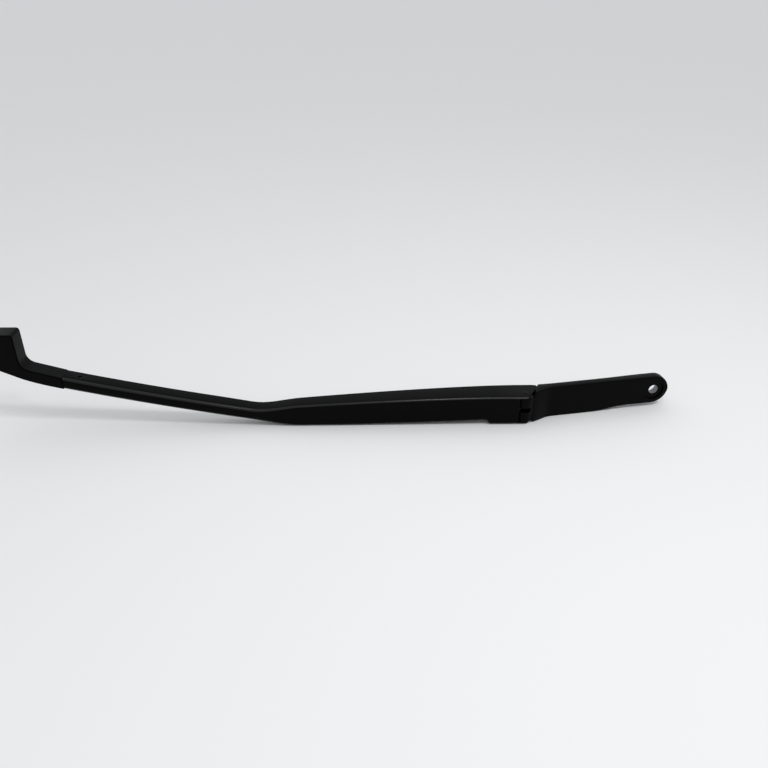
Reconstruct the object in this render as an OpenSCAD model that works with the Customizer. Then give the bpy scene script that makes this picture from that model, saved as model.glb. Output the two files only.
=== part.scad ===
// Windscreen wiper arm, standing on its long lower edge with its outer face towards -Y.
// The origin is on the spindle axis, at the face that the spindle nut clamps.
// +X runs along the mounting head away from the arm, +Y points to the glass, +Z is up.

/* [Stand] */
// Height of the spindle axis above the surface that the arm stands on
stand_h = 16.5; // [14.5:0.5:20]
// Angle between the arm and the head when the arm is folded down
fold = 10.1; // [6:0.1:14]

/* [Head] */
// Distance from the hinge pin to the spindle axis
pin_to_bore = 121; // [100:1:150]
// Radius of the rounded eye round the spindle
eye_r = 13.3; // [12:0.1:15]
// Thickness of the bar between the eye and the hinge
head_t = 7.6; // [6:0.1:9]
// Thickness of the eye
eye_t = 8.5; // [7.6:0.1:11]
// Radius of the die-cast edges
head_edge_r = 1.1; // [0.5:0.1:1.8]
// Height of the ramp from the head's outer face up to the hinge
ramp_h = 6.3; // [4:0.1:7.5]
// Length of that ramp
ramp_l = 22; // [16:1:32]
// Distance from the spindle axis to the middle of the step in the lower edge
step_x = 42; // [35:1:60]
// Length of that step
step_l = 30; // [20:1:40]
// Depth of the weight-saving pockets in the glass side
pocket_d = 3.4; // [1.5:0.1:4.5]
// Wall left round the pockets
pocket_wall = 3.2; // [2.2:0.1:5]

/* [Spindle seat] */
// Radius of the straight spindle bore
bore_r = 4.25; // [3.5:0.05:5]
// Length of the straight spindle bore
bore_l = 3; // [2:0.1:6]
// Radius of the round recess for the nut
recess_r = 9.3; // [8:0.1:11]
// Depth of that recess
recess_d = 1.2; // [0.6:0.1:2]
// Radius of the boss on the glass side
boss_r = 9.6; // [8.5:0.1:11]
// Height of that boss above the eye
boss_h = 0.8; // [0.4:0.1:6]
// Radius of the knurled cone at its mouth
cone_mouth_r = 5.7; // [5.3:0.1:7]
// Depth of the knurl ridges
knurl_d = 0.4; // [0.2:0.05:0.6]
// Number of knurl ridges
knurl_n = 30; // [20:1:40]

/* [Hinge] */
// Radius of the hinge pin
pin_r = 2.5; // [2:0.1:3]
// Distance from the hinge pin's axis to the outer face of the arm
web_off = 7.8; // [7:0.1:9.5]
// Distance from the hinge pin's axis to the end of the arm's web
web_end = 5.4; // [5:0.1:8]
// Radius of the head's hinge barrel
barrel_r = 7.4; // [6.6:0.1:7.8]
// Wall of the hinge bushes
bush_wall = 1.4; // [1:0.1:1.8]
// Thickness of the bushes' flanges
flange_t = 0.8; // [0.5:0.1:1.2]
// Radius of the bushes' flanges
flange_r = 6.4; // [5.5:0.1:7]
// Running clearance on radii
run_gap = 0.05; // [0.02:0.01:0.1]
// Clearance between an ear and what lies beside it
side_gap = 0.25; // [0.15:0.05:0.5]
// Gap between the ear's slanted end and the head's shoulder
stop_gap = 0.45; // [0.3:0.05:0.8]

/* [Arm] */
// Thickness of the pressed steel sheet
sheet = 1.6; // [1.2:0.1:2]
// Height of the arm over its ears
ear_w = 27.2; // [26:0.1:29]
// Depth of the channel's flanks at the hinge
hinge_depth = 21.5; // [20.5:0.1:24]
// Length over which the lower flank steps back from its ear
joggle_l = 5; // [3:0.5:9]
// Height of that step
joggle_h = 3.9; // [2:0.1:5]
// Distance from the hinge pin to that step
joggle_s = 29; // [22:1:40]
// Distance from the hinge pin to the start of the shoulder
shoulder_s = 193; // [160:1:240]
// Length of the shoulder, where the channel narrows to the rod
shoulder_l = 42; // [30:1:60]
// Drop of the upper edge between the ears and the shoulder
taper_drop = 6.9; // [5:0.1:9]
// Depth of the section at the shoulder's end
shoulder_depth = 13.1; // [12:0.1:15]
// Outer fold radius of the channel
fold_r = 2.6; // [2.2:0.1:3.5]

/* [Rod] */
// Height of the rod's section
rod_w = 11.4; // [10:0.1:14]
// Depth of the rod's section
rod_depth = 14; // [12:0.1:16]
// Outer fold radius of the rod
rod_fold_r = 3.8; // [3:0.1:4.5]
// Height of the rod's middle above the ground at the shoulder's end
rod_z = 11.8; // [9:0.1:15]
// Slope of the rod at the shoulder's end, in degrees
rod_slope = 10; // [5:0.5:14]
// Slope that the rod gains towards its end, in degrees
rod_curve = 3.4; // [0:0.2:6]
// Distance from the hinge pin to the end of the rod
rod_end_s = 388; // [350:1:420]

/* [Blade carrier] */
// Gap at the seam between the rod and the carrier
seam = 0.4; // [0.2:0.1:0.8]
// Depth of the carrier
carrier_depth = 15.6; // [14.2:0.1:18]
// Length of the carrier's neck
neck_l = 32; // [26:1:40]
// Height that the carrier's neck loses on each side against the rod
neck_step = 0.5; // [0.2:0.1:1]
// Slope of the carrier's lower edge, in degrees
carrier_slope = 21; // [16:0.5:26]
// Length of the blade block
block_l = 20.5; // [18:0.5:26]
// Height of the block's top above the ground
block_top = 88.5; // [80:0.5:96]
// Radius of the corners of the block
block_r = 2.6; // [1:0.1:4]
// Radius of the fillet between the neck and the block
fillet_r = 9; // [5:0.5:12]
// Length of the tongue that fills the rod's end
tongue_l = 26; // [20:1:36]
// Width of the pocket for the blade
seat_w = 14.5; // [12:0.5:16]
// Height of that pocket
seat_h = 23; // [18:1:26]
// Depth of that pocket
seat_d = 11; // [8:0.5:12]
// Radius of the pin that the blade clips on
blade_pin_r = 2.25; // [1.8:0.05:3]
// Radius of the rivet through the rod and the tongue
rivet_r = 2; // [1.5:0.1:2.5]

/* [Spring] */
// Distance of the link pin behind the hinge pin
link_y = 7.4; // [7:0.1:8]
// Distance of the link pin from the hinge pin towards the spindle
link_x = 2; // [1:0.1:3]
// Radius of the link pin
link_pin_r = 2; // [1.6:0.1:2.2]
// Thickness of the spring link
link_t = 3.6; // [3:0.1:4]
// Clearance of the link in its slot, each side
link_gap = 0.3; // [0.2:0.05:0.6]
// Radius of the spring's coils, to the middle of the wire
coil_r = 4.3; // [3.8:0.1:4.6]
// Radius of the spring wire
wire_r = 0.95; // [0.8:0.05:1.1]
// Number of coils
coils = 34; // [28:1:36]
// Distance from the hinge pin to the spring anchor
anchor_s = 92; // [90:1:110]
// Depth of the anchor behind the hinge pin
anchor_d = 4; // [3:0.1:5]
// Radius of the anchor post
post_r = 1.8; // [1.4:0.1:2]
// Angle that the arm opens
open_angle = 85; // [70:1:88]

/* [Hidden] */
eps = 0.01;
fine = 48;
ground = -stand_h;

// The head's outer face, glass side and hinge pin
y_out = -recess_d;
y_back = y_out + head_t;
pin_drop = 0.5;
pin_pos = [-pin_to_bore, y_out - pin_drop, 0];

// Heights of the ears, the barrel and the spring's plane
ear_top = ground + ear_w;
ear_mid = ground + ear_w / 2;
barrel_top = ear_top - sheet - side_gap - flange_t;
barrel_low = ground + sheet + side_gap + flange_t;
flank_d = hinge_depth - web_off;
head_low = min(ground, -eye_r);

// The ear's slanted end, in the arm's frame with X towards the spindle
ear_front = [0.6, -web_off];
ear_nose = [2.4, -web_off + 1.6];
ear_tail = [12.2, 10.4];
ear_back = [11.2, flank_d - 0.8];
ear_rear = [8.4, flank_d];
ear_clear_r = norm(ear_front) + 0.7;

// The spring's line, from the link pin to the anchor post
link_pos = [link_x, link_y];
post_pos = [-anchor_s, anchor_d];
post_open = [
    post_pos[0] * cos(open_angle) - post_pos[1] * sin(open_angle),
    post_pos[0] * sin(open_angle) + post_pos[1] * cos(open_angle)
];
line_rest = norm(post_pos - link_pos);
line_open = norm(post_open - link_pos);
line_tilt = atan2(link_pos[1] - post_pos[1], link_pos[0] - post_pos[0]);
open_tilt = atan2(link_pos[1] - post_open[1], link_pos[0] - post_open[0]);
link_turn = open_tilt - line_tilt;
pin_arc = norm(link_pos);
pin_angle = 90 - atan2(link_pos[0], link_pos[1]) - line_tilt;
swept_r = pin_r + 0.4;
eye_wall_r = pin_arc - swept_r - 0.85;
coil_steps = 10;
shank_r = coil_r * cos(180 / coil_steps) - wire_r - 0.08;
shank_start = barrel_r + pin_arc + 0.7;
shank_end = shank_start + 10;
coil_start = shank_start + 1.8;
coil_end = line_rest - post_r - 1.6;
loop_end = line_open + post_r + 0.4 + wire_r;

// Small shape functions
function ease(t) = let(c = min(1, max(0, t))) c * c * (3 - 2 * c);
function mix(a, b, t) = a + (b - a) * t;
function hermite(v0, m0, v1, m1, l, t) =
    (2 * t * t * t - 3 * t * t + 1) * v0 + (t * t * t - 2 * t * t + t) * l * m0
    + (3 * t * t - 2 * t * t * t) * v1 + (t * t * t - t * t) * l * m1;
function unit(v) = v / norm(v);
function arc(c, r, a0, a1, n) = [for (i = [0:n]) c + r * [cos(mix(a0, a1, i / n)), sin(mix(a0, a1, i / n))]];

// Upper and lower edge of the arm at the distance s from the hinge pin
function rod_mid(s) =
    let(d = s - shoulder_s - shoulder_l, l = rod_end_s - shoulder_s - shoulder_l)
    ground + rod_z + d * tan(rod_slope) + d * d / l / 2 * (tan(rod_slope + rod_curve) - tan(rod_slope));
function channel_top(s) =
    ear_top - taper_drop * pow(max(0, s - joggle_s) / (shoulder_s - joggle_s), 1.5);
function channel_low(s) =
    ground + joggle_h * ease((s - joggle_s) / joggle_l)
    * pow(max(0, 1 - max(0, s - joggle_s - joggle_l) / (shoulder_s - 25 - joggle_s)), 1.5);
function arm_top(s) =
    s <= shoulder_s ? channel_top(s)
    : s >= shoulder_s + shoulder_l ? rod_mid(s) + rod_w / 2
    : hermite(channel_top(shoulder_s), -1.5 * taper_drop / (shoulder_s - joggle_s),
        rod_mid(shoulder_s + shoulder_l) + rod_w / 2, tan(rod_slope), shoulder_l,
        (s - shoulder_s) / shoulder_l);
function arm_low(s) =
    s <= shoulder_s ? channel_low(s)
    : s >= shoulder_s + shoulder_l ? rod_mid(s) - rod_w / 2
    : hermite(ground, 0, rod_mid(shoulder_s + shoulder_l) - rod_w / 2, tan(rod_slope), shoulder_l,
        (s - shoulder_s) / shoulder_l);
function arm_depth(s) =
    let(narrow = shoulder_s + shoulder_l * 0.7)
    s < narrow ? mix(hinge_depth, shoulder_depth, max(0, s - 12) / (narrow - 12))
    : mix(shoulder_depth, rod_depth, ease((s - narrow) / 40));
function arm_fold(s) = mix(fold_r, rod_fold_r, ease((s - shoulder_s) / shoulder_l));

// One ring of the pressed U-section, as points [s, d, z] round its wall
function u_ring(s, top, low, depth, r, n = 4) =
    let(
        c_top = [r - web_off, top - r],
        c_low = [r - web_off, low + r],
        edge = depth - web_off,
        wall = concat(
            [[edge, top]], arc(c_top, r, 90, 180, n), arc(c_low, r, 180, 270, n), [[edge, low]],
            [[edge, low + sheet]], arc(c_low, r - sheet, 270, 180, n), arc(c_top, r - sheet, 180, 90, n),
            [[edge, top - sheet]])
    )
    [for (p = wall) [-s, p[0], p[1]]];
arm_stations = concat(
    [-14, 8, 20],
    [for (i = [0:5]) joggle_s + joggle_l * i / 5],
    [for (i = [1:11]) mix(joggle_s + joggle_l, shoulder_s, i / 11)],
    [for (i = [1:9]) shoulder_s + shoulder_l * i / 9],
    [for (i = [1:11]) mix(shoulder_s + shoulder_l, rod_end_s, i / 11)]);

// A closed skin over rings of equally many points
module skin(rings) {
    k = len(rings[0]);
    m = len(rings);
    points = [for (ring = rings) for (p = ring) p];
    sides = [for (i = [0:m - 2]) for (j = [0:k - 1]) for (t = [0:1])
        let(a = i * k + j, b = i * k + (j + 1) % k, c = a + k, d = b + k)
        t == 0 ? [a, c, b] : [b, c, d]];
    first = [for (j = [0:k / 2 - 2]) for (t = [0:1])
        t == 0 ? [j, j + 1, k - 1 - j] : [j + 1, k - 2 - j, k - 1 - j]];
    last = [for (f = first) [for (v = [2, 1, 0]) f[v] + (m - 1) * k]];
    polyhedron(points, concat(sides, first, last), convexity = 8);
}

// Puts the arm's own frame, with the hinge pin at its origin, into the part's frame
module in_arm() {
    translate(pin_pos) rotate([0, 0, -fold]) children();
}

// Puts the spring's line, with the link pin at its origin and X towards the anchor, into the arm's frame
module on_line() {
    translate([link_pos[0], link_pos[1], ear_mid]) rotate([0, 0, 180 + line_tilt]) children();
}

// Head: a die-cast bar between the spindle eye and the hinge barrel
function head_front(x) = y_out - ramp_h * (1 - ease((x - pin_pos[0] - 4) / ramp_l));
function head_rear(x) =
    mix(y_back, y_out + eye_t, ease((x + 55) / 45)) + 0.6 * (1 - ease((x - pin_pos[0] - 8) / 20));
function head_bottom(x) = mix(head_low, -eye_r, ease((x + step_x + step_l / 2) / step_l));
function head_half(x) = x <= 0 ? eye_r : sqrt(max(0, eye_r * eye_r - x * x));
function head_ring(x) =
    let(
        top = head_half(x),
        low = x <= 0 ? head_bottom(x) : -head_half(x),
        front = head_front(x),
        rear = head_rear(x),
        r = min(head_edge_r, (top - low) / 2 - 0.05),
        wall = concat(
            arc([rear - r, top - r], r, 0, 90, 3), arc([front + r, top - r], r, 90, 180, 3),
            arc([front + r, low + r], r, 180, 270, 3), arc([rear - r, low + r], r, 270, 360, 3))
    )
    [for (p = wall) [x, p[0], p[1]]];
head_start = pin_pos[0] + 4;
head_stations = concat(
    [for (i = [0:8]) head_start + ramp_l * i / 8],
    [-80, -66],
    [for (i = [0:6]) -step_x + step_l * (i / 6 - 0.5)],
    [-12, 0],
    [for (a = [12:12:72]) eye_r * sin(a)],
    [eye_r * sin(80), eye_r * sin(86)]);

module hinge_block() {
    lug_r = link_pin_r + 2.2;
    lug = [
        link_pos[0] * cos(fold) + link_pos[1] * sin(fold),
        link_pos[1] * cos(fold) - link_pos[0] * sin(fold)
    ];
    translate([pin_pos[0], pin_pos[1], barrel_low]) linear_extrude(barrel_top - barrel_low) {
        circle(barrel_r, $fn = fine);
        translate(lug) circle(lug_r, $fn = fine);
        polygon([
            [-2, barrel_r - 0.4], [lug[0] - 0.6, lug[1] + lug_r - 0.1], [18, y_back - pin_pos[1] - 0.3],
            [18, 2], [5.2, -barrel_r + 2.3], [0, 0]
        ]);
    }
}

module ear_room(z0, z1) {
    back = ear_tail + 6 * unit(ear_tail - ear_nose);
    shift = stop_gap * unit([(ear_tail - ear_nose)[1], -(ear_tail - ear_nose)[0]]);
    in_arm() translate([0, 0, z0]) linear_extrude(z1 - z0) {
        circle(ear_clear_r, $fn = fine);
        polygon([[-20, -20], [0, -20], [0, -4], ear_nose + shift, back + shift, [-20, 30]]);
    }
}

module knurled_cone() {
    cone_l = boss_h + eye_t - recess_d - bore_l;
    start_r = bore_r + 0.35;
    ridges = [for (i = [0:2 * knurl_n - 1])
        (start_r + (i % 2 == 0 ? 0 : knurl_d)) * [cos(180 * i / knurl_n), sin(180 * i / knurl_n)]];
    translate([0, bore_l, 0]) rotate([-90, 0, 0])
        linear_extrude(cone_l + eps, scale = cone_mouth_r / start_r) polygon(ridges);
}

module pocket(x0, x1) {
    top = eye_r - pocket_wall;
    low = max(head_bottom(x0), head_bottom(x1)) + pocket_wall;
    corner = 3;
    translate([0, y_back + 5, 0]) rotate([90, 0, 0]) linear_extrude(5 + pocket_d) {
        polygon([
            [x0 + corner, low], [x1 - corner, low], [x1, low + corner], [x1, top - corner],
            [x1 - corner, top], [x0 + corner, top], [x0, top - corner], [x0, low + corner]
        ]);
    }
}

module head() {
    slot_w = link_t + 2 * link_gap;
    hub_r = pin_r + bush_wall + 0.02;
    color([0.07, 0.07, 0.08]) difference() {
        union() {
            skin([for (x = head_stations) head_ring(x)]);
            hinge_block();
            translate([0, y_out + eye_t - 1, 0]) rotate([-90, 0, 0])
                cylinder(boss_h + 1, r = boss_r, $fn = fine);
        }
        ear_room(barrel_top, ear_top + 10);
        ear_room(ground - 10, barrel_low);
        translate([0, y_out - 1, 0]) rotate([-90, 0, 0]) cylinder(recess_d + 1, r = recess_r, $fn = fine);
        translate([0, -1, 0]) rotate([-90, 0, 0]) cylinder(bore_l + 1 + eps, r = bore_r, $fn = fine);
        knurled_cone();
        pocket(-96, -63);
        pocket(-59, -17);
        // The slot for the spring link, open to the arm and to the glass
        in_arm() translate([0, 0, ear_mid - slot_w / 2]) linear_extrude(slot_w)
            polygon([
                [-20, -20], [4.4, -20], [4.4, 2], [link_x + eye_wall_r + 0.6, link_y - 1],
                [link_x + eye_wall_r + 0.6, 40], [-20, 40]
            ]);
        in_arm() translate([0, 0, ground]) cylinder(ear_w, r = hub_r, $fn = fine);
        in_arm() translate([link_pos[0], link_pos[1], barrel_low - 1])
            cylinder(barrel_top - barrel_low + 2, r = link_pin_r + 0.02, $fn = fine);
    }
}

module bush(length) {
    difference() {
        union() {
            cylinder(flange_t, r = flange_r, $fn = fine);
            cylinder(flange_t + length, r = pin_r + bush_wall, $fn = fine);
        }
        translate([0, 0, -1]) cylinder(length + flange_t + 2, r = pin_r + run_gap, $fn = fine);
    }
}

bush_l = (barrel_top - barrel_low - link_t - 2 * link_gap) / 2 - 0.6;
module bush_upper() {
    color([0.1, 0.1, 0.1]) in_arm() translate([0, 0, barrel_top + flange_t]) mirror([0, 0, 1]) bush(bush_l);
}
module bush_lower() {
    color([0.1, 0.1, 0.1]) in_arm() translate([0, 0, barrel_low - flange_t]) bush(bush_l);
}

module link_pin() {
    color([0.7, 0.7, 0.72]) in_arm() translate([link_pos[0], link_pos[1], barrel_low + 0.4])
        cylinder(barrel_top - barrel_low - 0.8, r = link_pin_r, $fn = fine);
}

// Arm: one pressed sheet-steel channel that narrows to the rod
module arm_channel() {
    color([0.06, 0.06, 0.07]) in_arm() difference() {
        skin([for (i = [len(arm_stations) - 1:-1:0]) let(s = arm_stations[i])
            u_ring(s, arm_top(s), arm_low(s), arm_depth(s), arm_fold(s))]);
        // The web ends short of the hinge and leaves the two ears
        translate([-web_end, -web_off - 1, ground + sheet])
            cube([web_end + 20, sheet + 2.5, ear_w - 2 * sheet]);
        // The ears' rounded and slanted ends
        translate([0, 0, ground - 1]) linear_extrude(ear_w + 2)
            polygon([
                [ear_front[0], -web_off - 5], ear_front, ear_nose, ear_tail, ear_back, ear_rear,
                [6, flank_d + 0.02], [6, flank_d + 5], [30, flank_d + 5], [30, -web_off - 5]
            ]);
        translate([0, 0, ground - 1]) cylinder(ear_w + 2, r = pin_r + 0.02, $fn = fine);
        translate([-rivet_s, rod_depth / 2 - web_off, rod_mid(rivet_s) - rod_w])
            cylinder(2 * rod_w, r = rivet_r + 0.02, $fn = fine);
    }
}

module hinge_pin() {
    dome = 0.35;
    color([0.25, 0.25, 0.27]) in_arm() {
        translate([0, 0, ground + 0.3]) cylinder(ear_w - 0.3, r = pin_r, $fn = fine);
        translate([0, 0, ear_top - eps]) cylinder(dome, r1 = pin_r - 0.02, r2 = pin_r - 0.6, $fn = fine);
    }
}

// Spring anchor: a plate welded inside the web, with a headed post
module spring_anchor() {
    plate_d = 1.5;
    base = sheet - web_off;
    post_top = anchor_d + 5;
    color([0.66, 0.66, 0.68]) in_arm() {
        translate([-anchor_s - 9, base, ear_mid - 7]) cube([18, plate_d, 14]);
        translate([-anchor_s, base + plate_d - eps, ear_mid]) rotate([-90, 0, 0]) {
            cylinder(post_top - base - plate_d, r = post_r, $fn = fine);
            translate([0, 0, post_top - base - plate_d - 1.3]) cylinder(1.3, r = post_r + 0.7, $fn = fine);
        }
    }
}

// Spring link: a C-shaped plate that swings round the hinge pin, with a shank for the spring
module spring_link() {
    start = pin_angle - link_turn;
    hollow = pin_arc * [cos(start), sin(start)];
    depth = swept_r - hollow[1] + 2.8;
    reach = pin_arc + swept_r;
    neck_h = sqrt(shank_r * shank_r - link_t * link_t / 4) - 0.25;
    // The way that the hinge pin takes past the link
    pin_way = concat(
        arc([0, 0], reach, start, 95, 24), arc([0, 0], pin_arc - swept_r, 95, start, 16),
        arc(hollow, swept_r, start + 192, start + 348, 13));
    color([0.62, 0.62, 0.64]) in_arm() on_line() {
        difference() {
            translate([0, 0, -link_t / 2]) linear_extrude(link_t) difference() {
                union() {
                    circle(eye_wall_r, $fn = fine);
                    polygon([
                        [0, 0], [-eye_wall_r * 0.77, -eye_wall_r * 0.64], [0.6, -depth + 1.1], [4.4, -depth],
                        [hollow[0] + 1.2, -depth], [reach + 1.8, -depth + 2.2], [shank_start + 1, -neck_h],
                        [shank_start + 1, neck_h], [reach + 0.6, neck_h], [reach - 1, 0]
                    ]);
                }
                polygon(pin_way);
            }
            translate([0, 0, -link_t]) cylinder(2 * link_t, r = link_pin_r + run_gap, $fn = fine);
        }
        translate([shank_start, 0, 0]) rotate([0, 90, 0])
            cylinder(shank_end - shank_start, r = shank_r, $fn = fine);
    }
}

// Tension spring: close coils on the link's shank, and a long end loop round the anchor post
coil_points = [for (i = [0:coils * coil_steps]) let(a = 360 * i / coil_steps)
    [mix(coil_start, coil_end, i / (coils * coil_steps)), coil_r * sin(a), coil_r * cos(a)]];
loop_points = concat(
    [[coil_end + 0.5, coil_r * 0.5, coil_r * 0.95], [coil_end + 1.6, coil_r * 0.12, coil_r]],
    [for (a = [90:-15:-90]) [loop_end - coil_r + coil_r * cos(a), 0, coil_r * sin(a)]],
    [[coil_end + 3, 0, -coil_r]]);
function turned(n, t) = unit(n - (n * t) * t);
module wire(path, r, n = 6) {
    last = len(path) - 1;
    tangents = [for (i = [0:last]) unit(path[min(last, i + 1)] - path[max(0, i - 1)])];
    normals = [for (i = 0, v = turned([0.3, 0.5, 0.8], tangents[0]); i <= last;
        i = i + 1, v = i <= last ? turned(v, tangents[i]) : v) v];
    skin([for (i = [0:last]) [for (j = [0:n - 1])
        let(side = cross(tangents[i], normals[i]))
        path[i] + r * (cos(360 * j / n) * normals[i] + sin(360 * j / n) * side)]]);
}
module tension_spring() {
    color([0.6, 0.6, 0.62]) in_arm() on_line() wire(concat(coil_points, loop_points), wire_r);
}

// Blade carrier: a die-cast block with a neck and a tongue that fills the rod's end
neck_s = rod_end_s + seam;
block_s = rod_end_s + neck_l;
carrier_end = block_s + block_l;
carrier_front = -web_off;
carrier_back = carrier_front + carrier_depth;
rivet_s = rod_end_s - tongue_l / 2;
function carrier_low(s) =
    let(l = block_s - neck_s, low0 = arm_low(rod_end_s) + neck_step, t = (s - neck_s) / l)
    s < block_s ? hermite(low0, tan(rod_slope + rod_curve), low0 + l * tan(16.5), tan(carrier_slope), l, t)
    : low0 + l * tan(16.5) + (s - block_s) * tan(carrier_slope);
neck_top0 = arm_top(rod_end_s) - neck_step;
neck_top_slope = tan(rod_slope + rod_curve + 3);
fillet_a = atan(neck_top_slope);
fillet_c = [
    -(block_s - fillet_r),
    neck_top0 + (block_s - fillet_r - neck_s) * neck_top_slope + fillet_r * (1 / cos(fillet_a))
];
carrier_outline = concat(
    [for (i = [0:6]) let(s = mix(neck_s, block_s, i / 6)) [-s, carrier_low(s)]],
    arc([-carrier_end + block_r, carrier_low(carrier_end) + block_r + 0.8], block_r, 248, 180, 4),
    arc([-carrier_end + block_r, ground + block_top - block_r], block_r, 180, 90, 4),
    arc([-block_s - block_r, ground + block_top - block_r], block_r, 90, 0, 4),
    arc(fillet_c, fillet_r, 180, 270 - fillet_a, 7),
    [[-neck_s, neck_top0]]);
seat_mid = [-(block_s + block_l / 2), ground + block_top - 3.6 - seat_h / 2];
module carrier_slab(inset, depth) {
    rotate([90, 0, 0]) linear_extrude(depth) offset(delta = -inset) polygon(carrier_outline);
}
module tongue(w) {
    depth = rod_depth - sheet - 0.6;
    bevel = 0.65 * (rod_fold_r - sheet);
    rotate([90, 0, 90]) linear_extrude(tongue_l + 3) polygon([
        [bevel, -w / 2], [depth, -w / 2], [depth, w / 2], [bevel, w / 2],
        [0, w / 2 - bevel], [0, bevel - w / 2]
    ]);
}
module end_carrier() {
    bevel = 0.8;
    tongue_mid = rod_mid(rivet_s);
    slope = atan((rod_mid(rod_end_s) - rod_mid(rod_end_s - tongue_l)) / tongue_l);
    tongue_w = (rod_w - 2 * sheet) * cos(slope) - 0.3;
    color([0.05, 0.05, 0.055]) in_arm() difference() {
        union() {
            carrier_body(bevel);
            translate([-rivet_s, sheet - web_off + 0.15, tongue_mid]) rotate([0, slope, 0])
                translate([-tongue_l / 2 - 3, 0, 0]) tongue(tongue_w);
        }
        translate([seat_mid[0] - seat_w / 2, carrier_back - seat_d, seat_mid[1] - seat_h / 2])
            cube([seat_w, seat_d + 1, seat_h]);
        translate([seat_mid[0] - seat_w / 2 - 2, carrier_back - seat_d / 2, seat_mid[1]])
            rotate([0, 90, 0]) cylinder(seat_w + 4, r = blade_pin_r + 0.02, $fn = fine);
        translate([-rivet_s, rod_depth / 2 - web_off, tongue_mid - rod_w])
            cylinder(2 * rod_w, r = rivet_r + 0.02, $fn = fine);
    }
}
module carrier_body(bevel) {
    translate([0, carrier_back, 0]) carrier_slab(0, carrier_depth - bevel);
    translate([0, carrier_front + bevel + eps, 0]) carrier_slab(bevel * 0.4, bevel * 0.6 + eps);
    translate([0, carrier_front + bevel * 0.4 + eps, 0]) carrier_slab(bevel, bevel * 0.4 + eps);
}
module carrier_rivet() {
    color([0.2, 0.2, 0.22]) in_arm() translate([-rivet_s, rod_depth / 2 - web_off, arm_low(rivet_s) + 0.4])
        cylinder(rod_w - 0.8, r = rivet_r, $fn = fine);
}
module blade_pin() {
    color([0.66, 0.66, 0.68]) in_arm()
        translate([seat_mid[0] - seat_w / 2 - 1.9, carrier_back - seat_d / 2, seat_mid[1]])
        rotate([0, 90, 0]) cylinder(seat_w + 3.8, r = blade_pin_r, $fn = fine);
}

head();
bush_upper();
bush_lower();
link_pin();
arm_channel();
hinge_pin();
spring_anchor();
end_carrier();
carrier_rivet();
blade_pin();
spring_link();
tension_spring();
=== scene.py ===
import math

import bmesh
import bpy
from mathutils import Matrix, Vector


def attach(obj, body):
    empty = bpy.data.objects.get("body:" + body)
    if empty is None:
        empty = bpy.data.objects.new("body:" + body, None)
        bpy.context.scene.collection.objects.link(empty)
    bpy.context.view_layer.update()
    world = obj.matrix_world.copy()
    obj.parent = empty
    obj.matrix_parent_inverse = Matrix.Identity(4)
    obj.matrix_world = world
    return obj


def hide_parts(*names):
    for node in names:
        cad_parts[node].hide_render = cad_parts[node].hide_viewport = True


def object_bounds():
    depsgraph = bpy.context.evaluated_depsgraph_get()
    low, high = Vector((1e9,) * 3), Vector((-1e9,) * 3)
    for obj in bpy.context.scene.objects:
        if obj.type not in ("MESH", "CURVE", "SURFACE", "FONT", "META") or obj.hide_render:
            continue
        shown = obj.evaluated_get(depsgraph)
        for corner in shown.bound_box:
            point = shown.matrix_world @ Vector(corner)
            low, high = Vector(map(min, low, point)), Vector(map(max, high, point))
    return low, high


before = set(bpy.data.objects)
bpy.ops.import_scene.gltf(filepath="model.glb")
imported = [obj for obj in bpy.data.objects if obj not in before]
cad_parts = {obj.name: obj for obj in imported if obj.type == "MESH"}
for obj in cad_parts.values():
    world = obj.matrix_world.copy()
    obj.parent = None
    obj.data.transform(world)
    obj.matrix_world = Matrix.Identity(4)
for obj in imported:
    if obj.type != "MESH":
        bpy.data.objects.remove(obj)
cad_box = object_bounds()


# Camera
# It stands where the photograph was taken from: over the front of the arm, looking 30 degrees down,
# with the head to its right and the blade block running out of the left edge.
image_px = 768
focal_px = 770
sensor_mm = 36
camera_data = bpy.data.cameras.new("camera")
camera_data.sensor_width = sensor_mm
camera_data.sensor_height = sensor_mm
camera_data.lens = sensor_mm * focal_px / image_px
camera_data.clip_start = 0.01
camera = bpy.data.objects.new("camera", camera_data)
camera.location = (-0.3472, -0.5356, 0.3469)
camera.rotation_euler = (math.radians(60), 0, math.radians(-10.9))
bpy.context.scene.collection.objects.link(camera)
bpy.context.scene.camera = camera
bpy.context.scene.view_settings.view_transform = "Standard"


# Floor
# A plain pale board that the arm stands on, painted matt. It is wide enough to fill the picture,
# and the arm's lowest edge gives its height.
def srgb(text):
    """Linear colour of an sRGB hex value such as #1a1b1d."""
    parts = [int(text[i:i + 2], 16) / 255 for i in (1, 3, 5)]
    return [c / 12.92 if c <= 0.04045 else ((c + 0.055) / 1.055) ** 2.4 for c in parts] + [1]


def add_node(tree, kind, sockets=None, **settings):
    """Adds a shader node. A socket takes a number, a colour or another node's output."""
    new = tree.nodes.new("ShaderNode" + kind)
    for name, value in settings.items():
        setattr(new, name, value)
    for name, value in (sockets or {}).items():
        if isinstance(value, bpy.types.NodeSocket):
            tree.links.new(value, new.inputs[name])
        else:
            new.inputs[name].default_value = value
    return new


def empty_material(name):
    """A material with only its output node, and that node's surface socket."""
    material = bpy.data.materials.new(name)
    material.use_nodes = True
    material.node_tree.nodes.clear()
    output = add_node(material.node_tree, "OutputMaterial")
    return material, material.node_tree, output.inputs["Surface"]


def add_mesh_object(name, bm):
    """Turns a bmesh into an object at the origin."""
    mesh = bpy.data.meshes.new(name)
    bm.to_mesh(mesh)
    bm.free()
    piece = bpy.data.objects.new(name, mesh)
    bpy.context.scene.collection.objects.link(piece)
    return piece


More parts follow.
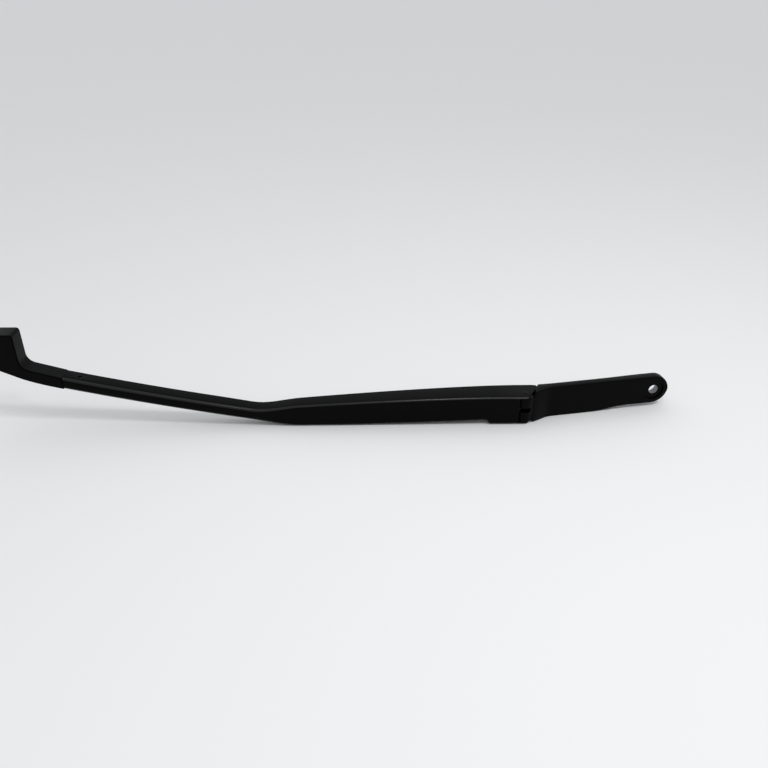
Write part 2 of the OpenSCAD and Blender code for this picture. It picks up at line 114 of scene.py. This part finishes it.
def matt_board():
    """Painted board: matt and even, so it gives soft shadows and no reflections."""
    material, tree, surface = empty_material("matt painted board")
    paint = add_node(tree, "BsdfPrincipled", {"Base Color": srgb("#ececec"), "Roughness": 0.7})
    paint.inputs["Specular IOR Level"].default_value = 0.2
    tree.links.new(paint.outputs["BSDF"], surface)
    return material


floor_z = cad_box[0][2]
board_half = 12
board = bmesh.new()
bmesh.ops.create_grid(board, x_segments=1, y_segments=1, size=board_half)
bmesh.ops.translate(board, verts=board.verts, vec=(0, 0, floor_z))
floor = add_mesh_object("floor", board)
floor.data.materials.append(matt_board())


# Light
# Soft studio light: a pale sky that is brightest above and behind the arm, and two small lamps
# over its front and its right end, which draw the bright line along the channel's upper fold.
brightest_side = (-0.35, 0.68, 0.645)
dim_sky, bright_sky = 0.4, 0.9
world = bpy.data.worlds.new("studio")
world.use_nodes = True
sky_tree = world.node_tree
sky = sky_tree.nodes["Background"]
direction = add_node(sky_tree, "TexCoord").outputs["Generated"]
towards_light = add_node(
    sky_tree, "VectorMath", {0: direction, 1: brightest_side}, operation="DOT_PRODUCT")
brightness = add_node(sky_tree, "MapRange", {
    "Value": towards_light.outputs["Value"], "From Min": -0.7, "From Max": 0.6,
    "To Min": dim_sky, "To Max": bright_sky}, interpolation_type="SMOOTHSTEP")
sky.inputs["Color"].default_value = srgb("#f4f6f8")
sky_tree.links.new(brightness.outputs["Result"], sky.inputs["Strength"])
bpy.context.scene.world = world


def add_lamp(name, place, target, size, power):
    """A square area lamp in metres and watts, aimed at a point."""
    lamp = bpy.data.lights.new(name, "AREA")
    lamp.size = size
    lamp.energy = power
    holder = bpy.data.objects.new(name, lamp)
    holder.location = place
    holder.rotation_euler = (Vector(target) - Vector(place)).to_track_quat("-Z", "Y").to_euler()
    bpy.context.scene.collection.objects.link(holder)


middle = (Vector(cad_box[0]) + Vector(cad_box[1])) / 2
add_lamp("front_lamp", (-0.22, -0.45, 0.95), middle, 0.16, 1.2)
add_lamp("right_lamp", (0.18, -0.45, 0.95), middle, 0.12, 2.6)


# Arm channel
# One pressed steel sheet, folded to a wide U at the hinge and narrowed to a rod at the shoulder.
# It is sprayed with black powder and baked, which leaves a fine orange peel and a thin, shinier
# skin over the folds.
smooth_below = math.radians(32)
merge_dist = 2e-6
grain_mm, grain_depth_mm, patch_mm = 0.3, 0.02, 25


def finished_copy(node, name, body):
    """A closed copy of a CAD solid, smooth over its gentle edges, which stands for that solid."""
    source = bmesh.new()
    source.from_mesh(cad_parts[node].data)
    bmesh.ops.remove_doubles(source, verts=source.verts, dist=merge_dist)
    bmesh.ops.dissolve_degenerate(source, edges=source.edges, dist=merge_dist / 2)
    for edge in source.edges:
        edge.smooth = edge.is_manifold and edge.calc_face_angle(0) < smooth_below
    for face in source.faces:
        face.smooth = True
    piece = add_mesh_object(name, source)
    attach(piece, body)
    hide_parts(node)
    return piece


def powder_coat(name, colour, roughness, peel_mm, peel_depth_mm, shine=0.045):
    """Baked powder: a satin skin over the metal, with an even orange peel and a fine grain."""
    material, tree, surface = empty_material(name)
    place = add_node(tree, "TexCoord").outputs["Object"]
    peel = add_node(tree, "TexNoise", {"Vector": place, "Scale": 1000 / peel_mm, "Detail": 2.0})
    grain = add_node(tree, "TexNoise", {"Vector": place, "Scale": 1000 / grain_mm, "Detail": 1.0})
    patches = add_node(tree, "TexNoise", {"Vector": place, "Scale": 1000 / patch_mm, "Detail": 3.0})
    skin = add_node(tree, "Bump", {
        "Height": peel.outputs["Fac"], "Distance": peel_depth_mm / 1000, "Strength": 0.6})
    speck = add_node(tree, "Bump", {
        "Height": grain.outputs["Fac"], "Distance": grain_depth_mm / 1000, "Strength": 0.35,
        "Normal": skin.outputs["Normal"]})
    gloss = add_node(tree, "MapRange", {
        "Value": patches.outputs["Fac"], "From Min": 0.3, "From Max": 0.7,
        "To Min": roughness - 0.04, "To Max": roughness + 0.05})
    tone = add_node(tree, "MixRGB", {
        "Fac": patches.outputs["Fac"], "Color1": srgb(colour), "Color2": srgb("#040404")})
    coat = add_node(tree, "BsdfPrincipled", {
        "Base Color": tone.outputs["Color"], "Roughness": gloss.outputs["Result"],
        "Normal": speck.outputs["Normal"]})
    coat.inputs["Specular IOR Level"].default_value = shine
    tree.links.new(coat.outputs["BSDF"], surface)
    return material


channel = finished_copy("arm_channel", "painted_channel", "arm")
channel_paint = powder_coat("black powder coat on pressed steel", "#060607", 0.27, 1.1, 0.006)
channel.data.materials.append(channel_paint)
fold_paint = powder_coat("powder coat drawn thin over folds", "#070708", 0.23, 1.1, 0.004, shine=0.35)
channel.data.materials.append(fold_paint)
fold_from, fold_to = 20, 70
for face in channel.data.polygons:
    turned_up = abs(math.degrees(math.atan2(face.normal.z, -face.normal.y)))
    if fold_from < turned_up < fold_to:
        face.material_index = 1


# Mounting head
# Die-cast aluminium with the same black coat over a slightly grainier skin. The bore and the
# knurled cone are machined after painting, so they are bare metal.
def machined_metal(name, colour, roughness, line_mm, line_depth_mm=0.03):
    """Bare turned or drawn metal: fine tool lines, and a dull grey shine."""
    material, tree, surface = empty_material(name)
    place = add_node(tree, "TexCoord").outputs["Object"]
    lines = add_node(tree, "TexNoise", {"Vector": place, "Scale": 1000 / line_mm, "Detail": 3.0})
    cut = add_node(tree, "Bump", {
        "Height": lines.outputs["Fac"], "Distance": line_depth_mm / 1000, "Strength": 0.5})
    shine = add_node(tree, "MapRange", {
        "Value": lines.outputs["Fac"], "To Min": roughness - 0.08, "To Max": roughness + 0.1})
    metal = add_node(tree, "BsdfPrincipled", {
        "Base Color": srgb(colour), "Metallic": 1.0, "Roughness": shine.outputs["Result"],
        "Normal": cut.outputs["Normal"]})
    tree.links.new(metal.outputs["BSDF"], surface)
    return material


bare_r = 0.0061
bare_y = 0.008
head = finished_copy("head", "cast_head", "head")
head.data.materials.append(powder_coat("black powder coat on die-cast metal", "#060606", 0.3, 0.9, 0.01))
head.data.materials.append(machined_metal("machined aluminium", "#77787a", 0.35, 0.25))
for face in head.data.polygons:
    x, y, z = face.center
    if math.hypot(x, z) < bare_r and 0 < y < bare_y:
        face.material_index = 1


# Blade block
# A die-cast block whose neck continues the rod and whose tongue fills the rod's end.
end_block = finished_copy("end_carrier", "blade_block", "arm")
end_block.data.materials.append(powder_coat("black coat on die-cast block", "#060606", 0.32, 0.8, 0.01))


# Small steel pieces
# The hinge pin and rivet are blackened, the spring anchor has the channel's powder coat, and the others
# are zinc plated or oiled.
black_steel = powder_coat("blackened steel", "#131315", 0.4, 0.5, 0.01)
zinc_plate = machined_metal("zinc-plated steel", "#9a9ca0", 0.4, 0.4)
oiled_steel = machined_metal("oiled spring steel", "#5c5d60", 0.38, 0.3)
for node, name, body, slot, finish in (
        ("hinge_pin", "hinge_pivot", "arm", "hinge_pin", black_steel),
        ("carrier_rivet", "block_rivet", "arm", "carrier_rivet", black_steel),
        ("spring_anchor", "anchor_plate", "arm", "spring_anchor", channel_paint),
        ("blade_pin", "clip_pin", "arm", "blade_pin", zinc_plate),
        ("link_pin", "link_pivot", "head", "link_pin", zinc_plate),
        ("spring_link", "swing_link", "spring_link", "spring_link", zinc_plate),
        ("tension_spring", "coil_spring", "spring_link", "tension_spring", oiled_steel)):
    finished_copy(node, name, body).data.materials.append(finish)


# Hinge bushes
# Two flanged bushes moulded in black acetal, pressed in the head's barrel.
haze_mm = 4


def moulded_acetal():
    """Black acetal: a waxy dark plastic with a soft shine."""
    material, tree, surface = empty_material("black acetal")
    place = add_node(tree, "TexCoord").outputs["Object"]
    haze = add_node(tree, "TexNoise", {"Vector": place, "Scale": 1000 / haze_mm, "Detail": 2.0})
    tone = add_node(tree, "MixRGB", {
        "Fac": haze.outputs["Fac"], "Color1": srgb("#151515"), "Color2": srgb("#1c1c1b")})
    plastic = add_node(tree, "BsdfPrincipled", {
        "Base Color": tone.outputs["Color"], "Roughness": 0.4})
    tree.links.new(plastic.outputs["BSDF"], surface)
    return material


acetal = moulded_acetal()
for side in ("upper", "lower"):
    bush = finished_copy("bush_" + side, "flanged_bush_" + side, "head")
    bush.data.materials.append(acetal)
